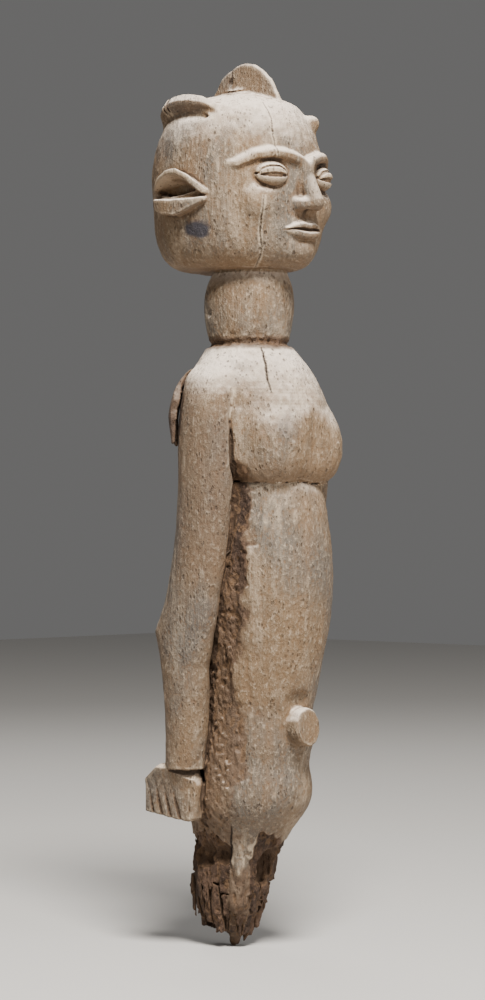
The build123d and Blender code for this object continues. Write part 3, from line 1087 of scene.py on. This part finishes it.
TAN = rgb(0.175, 0.115, 0.065)
GREY = rgb(0.112, 0.095, 0.078)
PALE = rgb(0.45, 0.36, 0.26)
BROWN = rgb(0.105, 0.062, 0.036)
WARM = rgb(0.17, 0.098, 0.048)
DIRT_AND_SHADE = rgb(0.038, 0.021, 0.012)
ROT = rgb(0.030, 0.017, 0.011)
ROT_PALE = rgb(0.112, 0.066, 0.042)
FRESH = rgb(0.62, 0.50, 0.38)
BLEACHED_TOP_LIGHT = rgb(0.93, 0.81, 0.695)
SOOT = rgb(0.105, 0.085, 0.068)
STAIN_AND_SHEEN_GREY = rgb(0.022, 0.022, 0.032)
CRACK = rgb(0.016, 0.009, 0.006)


def wood_pits(n, where, cells, clusters):
    """Small round holes along the grain, in clusters. cells: stretch, scale and limits; clusters: the same."""
    stretch, scale, rim, floor_at = cells
    spread, detail, low, high = clusters
    holes = n.add("ShaderNodeTexVoronoi", {"Vector": n.stretched(where, stretch), "Scale": scale})
    inside = n.ramp(holes.outputs["Distance"], rim, floor_at)
    return n.math("MULTIPLY", inside, n.ramp(n.noise(where, spread, detail), low, high))


def wood(name):
    """Old hardwood: upright grain, grey and tan mottling, insect holes, painted shade with some dirt in hollows,
    pale worn edges, painted top light with bleaching on faces turned up and painted shade on faces turned down.
    """
    material = bpy.data.materials.new(name)
    material.use_nodes = True
    n = Nodes(material)
    where = n.add("ShaderNodeTexCoord").outputs["Object"]
    shade_and_wear = n.channels("shade_and_wear")
    spots = n.channels("spots")
    hollow_shade, worn, decay_and_shade = shade_and_wear[0], shade_and_wear[1], shade_and_wear[2]
    upright = n.stretched(where, 0.16)
    long_grain = n.stretched(where, 0.035)
    broad = n.noise(n.stretched(where, 0.55), 11.0, 4.0)
    patch = n.noise(upright, 38.0, 5.0, 0.6)
    streak = n.noise(long_grain, 330.0, 3.0, 0.6)
    hair = n.noise(long_grain, 1100.0, 2.0, 0.5)
    grit = n.noise(where, 620.0, 2.0, 0.6)
    speck = n.noise(n.stretched(where, 0.7), 230.0, 5.0, 0.68)

    colour = n.mix(n.ramp(broad, 0.36, 0.62), GREY, TAN)
    soot = n.noise(n.stretched(where, 0.7), 21.0, 6.0, 0.65)
    colour = n.tint(colour, (
        (soot, 0.53, 0.7, 0.6, SOOT),
        (patch, 0.5, 0.74, 0.48, PALE),
        (patch, 0.5, 0.28, 0.5, WARM),
        (streak, 0.48, 0.3, 0.42, WARM),
        (hair, 0.5, 0.75, 0.25, PALE),
        (speck, 0.52, 0.68, 0.52, PALE),
        (speck, 0.47, 0.35, 0.7, WARM),
        (grit, 0.55, 0.72, 0.5, DIRT_AND_SHADE),
    ))
    colour = n.mix(n.math("MULTIPLY", worn, 0.8), colour, PALE)
    # painted top light with sun bleaching on faces turned up; painted shade, warmer and darker, on faces turned
    # down
    normal = n.add("ShaderNodeNewGeometry").outputs["Normal"]
    top_light_underside_shade = n.add("ShaderNodeSeparateXYZ", {"Vector": normal}).outputs["Z"]
    colour = n.tint(colour, ((top_light_underside_shade, 0.16, 0.85, 0.78, BLEACHED_TOP_LIGHT), (top_light_underside_shade, -0.35, -0.95, 0.4, WARM)))

    crumb = n.noise(n.stretched(where, 0.8), 210.0, 4.0, 0.7)
    rotten = n.mix(n.ramp(n.noise(upright, 60.0, 4.0), 0.4, 0.62), ROT, ROT_PALE)
    rotten = n.tint(rotten, (
        (crumb, 0.5, 0.66, 0.65, ROT_PALE), (crumb, 0.48, 0.36, 0.7, DIRT_AND_SHADE), (streak, 0.5, 0.3, 0.7, DIRT_AND_SHADE),
    ))
    ragged = n.math("ADD", decay_and_shade, n.math("MULTIPLY", n.math("SUBTRACT", patch, 0.5), 0.9))
    colour = n.tint(colour, ((ragged, 0.08, 0.45, 0.75, BROWN),))
    colour = n.mix(n.ramp(ragged, 0.35, 0.8), colour, rotten)
    colour = n.mix(n.math("MULTIPLY", spots[0], 0.85), colour, FRESH)

    # painted shade, with some dirt: hollows turn warmer, then dark
    shade_and_dirt = n.math("ADD", hollow_shade, n.math("MULTIPLY", n.math("SUBTRACT", patch, 0.5), 0.35))
    colour = n.tint(colour, ((shade_and_dirt, 0.12, 0.42, 0.55, WARM), (shade_and_dirt, 0.36, 0.75, 0.8, DIRT_AND_SHADE)))

    pit = wood_pits(n, where, (0.6, 120.0, 0.24, 0.12), (26.0, 3.0, 0.54, 0.64))
    pore = wood_pits(n, where, (0.45, 270.0, 0.34, 0.16), (48.0, 4.0, 0.44, 0.6))
    pit = n.math("MAXIMUM", pit, n.math("MULTIPLY", pore, 0.7))
    colour = n.mix(n.math("MULTIPLY", pit, 0.65), colour, DIRT_AND_SHADE)
    # stains, and the painted sheen on the breast, in grey-blue
    colour = n.mix(n.math("MULTIPLY", spots[1], 0.92), colour, STAIN_AND_SHEEN_GREY)
    colour = n.mix(n.math("MULTIPLY", spots[2], 0.95), colour, CRACK)

    height = n.math("MULTIPLY", streak, 0.9)
    for value, depth in ((hair, 0.35), (grit, 0.35), (speck, 2.2)):
        height = n.math("ADD", height, n.math("MULTIPLY", value, depth))
    height = n.math("ADD", height, n.math("MULTIPLY", n.math("MULTIPLY", crumb, decay_and_shade), 3.0))
    height = n.math("SUBTRACT", height, n.math("MULTIPLY", pit, 1.6))
    bump = n.add("ShaderNodeBump", {"Strength": 0.8, "Distance": 0.0019, "Height": height})
    rough = n.math("ADD", n.math("MULTIPLY", streak, 0.22), 0.6)
    rough = n.math("ADD", rough, n.math("MULTIPLY", decay_and_shade, 0.15))
    shader = n.add(
        "ShaderNodeBsdfPrincipled",
        {"Base Color": colour, "Roughness": rough, "Normal": bump.outputs["Normal"], "Specular IOR Level": 0.32},
    )
    out = n.add("ShaderNodeOutputMaterial")
    n.put(out.inputs["Surface"], shader.outputs["BSDF"])
    return material


# ---- pieces

SLOTS = {row["node"]: row["material_slot"] for row in frame["record"]["subparts"]}


def boundary_loops(faces):
    """The open edges of a patch as closed rings of vertex numbers."""
    starts = faces.ravel()
    ends = np.roll(faces, -1, 1).ravel()
    size = int(faces.max()) + 1
    forward, backward = starts.astype(np.int64) * size + ends, ends.astype(np.int64) * size + starts
    open_edges = ~np.isin(forward, backward)
    follow = {}
    for a, b in zip(starts[open_edges].tolist(), ends[open_edges].tolist()):
        follow.setdefault(a, []).append(b)
    rings = []
    while follow:
        first = next(iter(follow))
        ring, spot = [], first
        while spot in follow:
            ring.append(spot)
            nexts = follow[spot]
            step = nexts.pop()
            if not nexts:
                del follow[spot]
            spot = step
        rings.append(ring)
    return rings


LIP = 2.5
HIDDEN_SHADE_AND_WEAR = (1.0, 0.0, 1.0)
HIDDEN_SPOTS = (0.0, 0.0, 0.8)


def hidden_centre(inner, normals, field):
    """A point inside the wood from which a fan to the inner ring stays out of sight, or None."""
    inward = -normals.mean(0)
    for sink in (0.0, 4.0, 9.0, 16.0):
        centre = inner.mean(0) + sink * inward
        spokes = np.concatenate([inner + t * (centre - inner) for t in (0.2, 0.45, 0.7, 1.0)])
        if field(*spokes.astype(np.float32).T).max() < -0.5:
            return centre
    return None


def close_behind(points, faces, normals, field):
    """Hidden faces behind each open edge: a lip turned into the wood, then a fan where one fits."""
    added, turned, triangles = [], [], []
    for ring in boundary_loops(faces):
        sunk = field(*(points[ring] - LIP * normals[ring]).T) < -0.2
        inner = points[ring] - np.where(sunk, LIP, 0.3)[:, None] * normals[ring]
        start = len(points) + len(added)
        added += list(inner)
        turned += list(normals[ring])
        here = list(range(start, start + len(ring)))
        for a, b, c, d in zip(ring, ring[1:] + ring[:1], here[1:] + here[:1], here):
            triangles += [(b, a, d), (b, d, c)]
        centre = hidden_centre(inner, normals[ring], field)
        if centre is not None:
            hub = len(points) + len(added)
            added.append(centre)
            turned.append(normals[ring].mean(0))
            triangles += [(b, a, hub) for a, b in zip(here, here[1:] + here[:1])]
    return np.array(added, np.float32).reshape(-1, 3), np.array(turned, np.float32).reshape(-1, 3), triangles


def skin_mesh(name, points, faces, triangles):
    """A smooth mesh of four-sided faces followed by triangles."""
    mesh = bpy.data.meshes.new(name)
    corners = np.concatenate([faces.ravel(), np.array(triangles, np.int64).ravel()]).astype(np.int32)
    mesh.vertices.add(len(points))
    mesh.vertices.foreach_set("co", points.astype(np.float32).ravel())
    mesh.loops.add(len(corners))
    mesh.loops.foreach_set("vertex_index", corners)
    mesh.polygons.add(len(faces) + len(triangles))
    starts = np.concatenate([np.arange(len(faces)) * 4, faces.size + np.arange(len(triangles)) * 3])
    mesh.polygons.foreach_set("loop_start", starts.astype(np.int32))
    mesh.update(calc_edges=True)
    mesh.polygons.foreach_set("use_smooth", np.ones(len(mesh.polygons), bool))
    return mesh


def piece(name, vertices, faces, normals, shade_and_wear, spots, material, field):
    """One node's share of the skin, closed behind out of sight, riding on the root body."""
    used, faces = np.unique(faces, return_inverse=True)
    faces = faces.reshape(-1, 4)
    points, normal = vertices[used], normals[used]
    shade_and_wear, spots = shade_and_wear[used], spots[used]
    added, turned, triangles = close_behind(points, faces, normal, field)
    points = np.concatenate([points, added]) * MM
    normal = np.concatenate([normal, turned])
    shade_and_wear = np.concatenate([shade_and_wear, np.tile(np.float32(HIDDEN_SHADE_AND_WEAR), (len(added), 1))])
    spots = np.concatenate([spots, np.tile(np.float32(HIDDEN_SPOTS), (len(added), 1))])
    mesh = skin_mesh(name + "_skin", points, faces, triangles)
    for layer, data in (("shade_and_wear", shade_and_wear), ("spots", spots)):
        attribute = mesh.color_attributes.new(layer, "FLOAT_COLOR", "POINT")
        colours = np.concatenate([data, np.ones((len(data), 1), np.float32)], 1)
        attribute.data.foreach_set("color", colours.astype(np.float32).ravel())
    free = mesh.attributes.new("custom_normal", "FLOAT_VECTOR", "POINT")
    free.data.foreach_set("vector", normal.astype(np.float32).ravel())
    mesh.materials.append(material)
    made = bpy.data.objects.new(name + "_carving", mesh)
    bpy.context.scene.collection.objects.link(made)
    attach(made, "root")
    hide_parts(name)


def carve_figure(field, labels, nodes, low, high, cell, materials, head):
    """Meshes a field and makes one piece for each of its nodes."""
    vertices, faces = surface(field, low, high, cell)
    faces = keep_largest(vertices, faces, 400)
    normals = vertex_normals(vertices, faces)
    shade_and_wear, spots = marks(field, vertices, normals, head)
    owner = labels(*vertices[faces].mean(1).T)
    for number, name in enumerate(nodes):
        share = faces[owner == number]
        if not len(share):
            raise SystemExit(f"{name} has no share of the skin")
        piece(name, vertices, share, normals, shade_and_wear, spots, materials[SLOTS[name]], field)


# ---- stage, light and camera


def floor():
    """A plain pale floor under the foot."""
    material = bpy.data.materials.new("floor_pale")
    material.use_nodes = True
    shader = material.node_tree.nodes["Principled BSDF"]
    shader.inputs["Base Color"].default_value = rgb(0.52, 0.51, 0.495)
    shader.inputs["Roughness"].default_value = 0.85
    mesh = bpy.data.meshes.new("floor_mesh")
    half = 6.0
    mesh.from_pydata([(-half, -half, 0), (half, -half, 0), (half, half, 0), (-half, half, 0)], [], [(0, 1, 2, 3)])
    mesh.materials.append(material)
    made = bpy.data.objects.new("floor", mesh)
    bpy.context.scene.collection.objects.link(made)


def aim(thing, target):
    thing.rotation_euler = (Vector(target) - thing.location).to_track_quat("-Z", "Y").to_euler()


def light(name, place, target, size, watts, colour):
    lamp = bpy.data.lights.new(name, "AREA")
    lamp.shape = "DISK"
    lamp.size = size
    lamp.energy = watts
    lamp.color = colour
    made = bpy.data.objects.new(name, lamp)
    made.location = place
    aim(made, target)
    bpy.context.scene.collection.objects.link(made)


CAMERA_AZIMUTH = math.radians(-47)
CAMERA_DISTANCE = 3.6
CAMERA_HEIGHT = 0.5055
CAMERA_ASIDE = 0.0085
SENSOR_HEIGHT = 24.0
VIEW_HEIGHT = 1.136


def camera():
    data = bpy.data.cameras.new("view")
    data.sensor_fit = "VERTICAL"
    data.sensor_height = SENSOR_HEIGHT
    data.lens = SENSOR_HEIGHT * CAMERA_DISTANCE / VIEW_HEIGHT
    made = bpy.data.objects.new("view", data)
    right = Vector((math.cos(CAMERA_AZIMUTH), math.sin(CAMERA_AZIMUTH), 0))
    middle = Vector((0, 0, CAMERA_HEIGHT)) + right * CAMERA_ASIDE
    made.location = middle + CAMERA_DISTANCE * Vector((math.sin(CAMERA_AZIMUTH), -math.cos(CAMERA_AZIMUTH), 0))
    aim(made, middle)
    bpy.context.scene.collection.objects.link(made)
    bpy.context.scene.camera = made


def world():
    made = bpy.data.worlds.new("studio")
    made.use_nodes = True
    background = made.node_tree.nodes["Background"]
    background.inputs["Color"].default_value = rgb(0.84, 0.83, 0.82)
    background.inputs["Strength"].default_value = 0.17
    bpy.context.scene.world = made


camera()
world()
floor()
light("key", (-1.31, -1.68, 3.25), (0, 0, 0.62), 1.2, 375.0, (1.0, 0.955, 0.89))
light("fill", (0.3, -2.8, 0.7), (0, 0, 0.35), 1.6, 32.0, (1.0, 0.97, 0.94))
light("rim", (1.6, 2.2, 2.4), (0, 0, 0.6), 1.2, 24.0, (1.0, 0.98, 0.95))

MATERIALS = {name: wood(name) for name in ("weathered_wood", "rotten_wood", "split_wood")}

margin = 12.0
carve_figure(
    head_field, head_labels, HEAD_NODES,
    (ear_low[0] - margin, nose_low[1] - margin, head_low[2] - 8.0),
    (-ear_low[0] + margin, head_high[1] + margin, crest_high[2] + margin),
    HEAD_CELL, MATERIALS, True,
)
carve_figure(
    body_field, body_labels, BODY_NODES,
    (cad_bounds[0][0] / MM - margin, chest_low[1] - margin, -margin),
    (cad_bounds[1][0] / MM + margin, cad_bounds[1][1] / MM + margin, head_low[2] + 9.0),
    BODY_CELL, MATERIALS, False,
)
